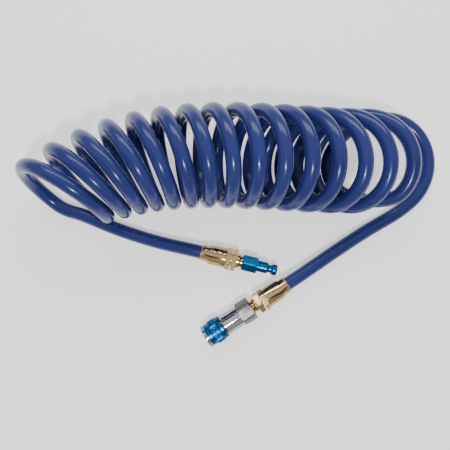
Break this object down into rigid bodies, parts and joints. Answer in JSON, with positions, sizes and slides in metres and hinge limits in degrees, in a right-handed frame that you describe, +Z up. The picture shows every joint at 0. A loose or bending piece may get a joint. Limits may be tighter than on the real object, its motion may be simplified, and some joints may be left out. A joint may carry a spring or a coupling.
{
  "type": "coiled air hose",
  "caption": "Recoil air hose of blue polyurethane tube, with brass swivel fittings, a male air plug on one end and a sleeve-operated quick coupler on the other.",
  "frame": {"origin": "on the table, at the middle of the box round the two end fittings", "axes": "+Z up from the table; +X along the coil from its plug end to its coupler end; +Y from the fittings to the coil"},
  "size_m": [0.4205, 0.2444, 0.0984],
  "materials": {
    "hose": "gloss, slightly translucent polyurethane",
    "brass": "machined, bright",
    "blue_anodised": "blue anodised, bright",
    "satin_nickel": "satin nickel plate",
    "chrome": "polished chrome plate",
    "spring_steel": "drawn wire",
    "ball_steel": "ground and polished",
    "seal_rubber": "moulded nitrile"
  },
  "bodies": {
    "hose": {"hose_coil": "hose", "plug_end_tail": "hose", "coupler_end_tail": "hose", "plug_end_ferrule": "brass", "plug_end_stem": "brass", "plug_end_swivel_oring": "seal_rubber", "coupler_end_ferrule": "brass", "coupler_end_stem": "brass", "coupler_end_swivel_oring": "seal_rubber"},
    "plug_end_swivel": {"plug_end_retainer_ring": "spring_steel", "plug_end_swivel_nipple": "brass", "air_plug": "blue_anodised"},
    "coupler_end_swivel": {"coupler_end_retainer_ring": "spring_steel", "coupler_end_swivel_nipple": "brass", "coupler_adapter": "satin_nickel", "adapter_seal_ring": "seal_rubber", "coupler_body": "chrome", "packing_seal": "seal_rubber", "nose_ring": "chrome", "sleeve_spring": "spring_steel", "valve_spring": "spring_steel"},
    "sleeve": {"release_sleeve": "blue_anodised"},
    "valve": {"valve_poppet": "brass", "valve_seal": "seal_rubber"},
    "locking_ball_1": {"locking_ball_1": "ball_steel"},
    "locking_ball_2": {"locking_ball_2": "ball_steel"},
    "locking_ball_3": {"locking_ball_3": "ball_steel"},
    "locking_ball_4": {"locking_ball_4": "ball_steel"},
    "locking_ball_5": {"locking_ball_5": "ball_steel"},
    "locking_ball_6": {"locking_ball_6": "ball_steel"}
  },
  "joints": [
    {"name": "plug_swivel", "type": "hinge", "parent": "hose", "child": "plug_end_swivel", "pos_m": [-0.01257, 0.03695, 0.0115], "axis": [0.9715, -0.2368, 0], "continuous": true},
    {"name": "coupler_swivel", "type": "hinge", "parent": "hose", "child": "coupler_end_swivel", "pos_m": [0.01485, -0.00662, 0.0126], "axis": [-0.8368, -0.5476, 0], "continuous": true},
    {"name": "sleeve_slide", "type": "slide", "parent": "coupler_end_swivel", "child": "sleeve", "axis": [0.8368, 0.5476, 0], "range_m": [0, 0.004], "stiffness_N_per_m": 2500, "springref_m": -0.003, "deforming": ["sleeve_spring"]},
    {"name": "valve_slide", "type": "slide", "parent": "coupler_end_swivel", "child": "valve", "axis": [0.8368, 0.5476, 0], "range_m": [0, 0.004], "stiffness_N_per_m": 900, "springref_m": -0.003, "deforming": ["valve_spring"]},
    {"name": "locking_ball_1_slide", "type": "slide", "parent": "coupler_end_swivel", "child": "locking_ball_1", "axis": [0.4742, -0.7247, 0.5], "range_m": [0, 0.00112]},
    {"name": "locking_ball_2_slide", "type": "slide", "parent": "coupler_end_swivel", "child": "locking_ball_2", "axis": [0, 0, 1], "range_m": [0, 0.00112]},
    {"name": "locking_ball_3_slide", "type": "slide", "parent": "coupler_end_swivel", "child": "locking_ball_3", "axis": [-0.4742, 0.7247, 0.5], "range_m": [0, 0.00112]},
    {"name": "locking_ball_4_slide", "type": "slide", "parent": "coupler_end_swivel", "child": "locking_ball_4", "axis": [-0.4742, 0.7247, -0.5], "range_m": [0, 0.00112]},
    {"name": "locking_ball_5_slide", "type": "slide", "parent": "coupler_end_swivel", "child": "locking_ball_5", "axis": [0, 0, -1], "range_m": [0, 0.00112]},
    {"name": "locking_ball_6_slide", "type": "slide", "parent": "coupler_end_swivel", "child": "locking_ball_6", "axis": [0.4742, -0.7247, -0.5], "range_m": [0, 0.00112]}
  ],
  "couplings": [
    {"joint": "locking_ball_1_slide", "follows": "sleeve_slide", "ratio": 0.275},
    {"joint": "locking_ball_2_slide", "follows": "sleeve_slide", "ratio": 0.275},
    {"joint": "locking_ball_3_slide", "follows": "sleeve_slide", "ratio": 0.275},
    {"joint": "locking_ball_4_slide", "follows": "sleeve_slide", "ratio": 0.275},
    {"joint": "locking_ball_5_slide", "follows": "sleeve_slide", "ratio": 0.275},
    {"joint": "locking_ball_6_slide", "follows": "sleeve_slide", "ratio": 0.275}
  ]
}
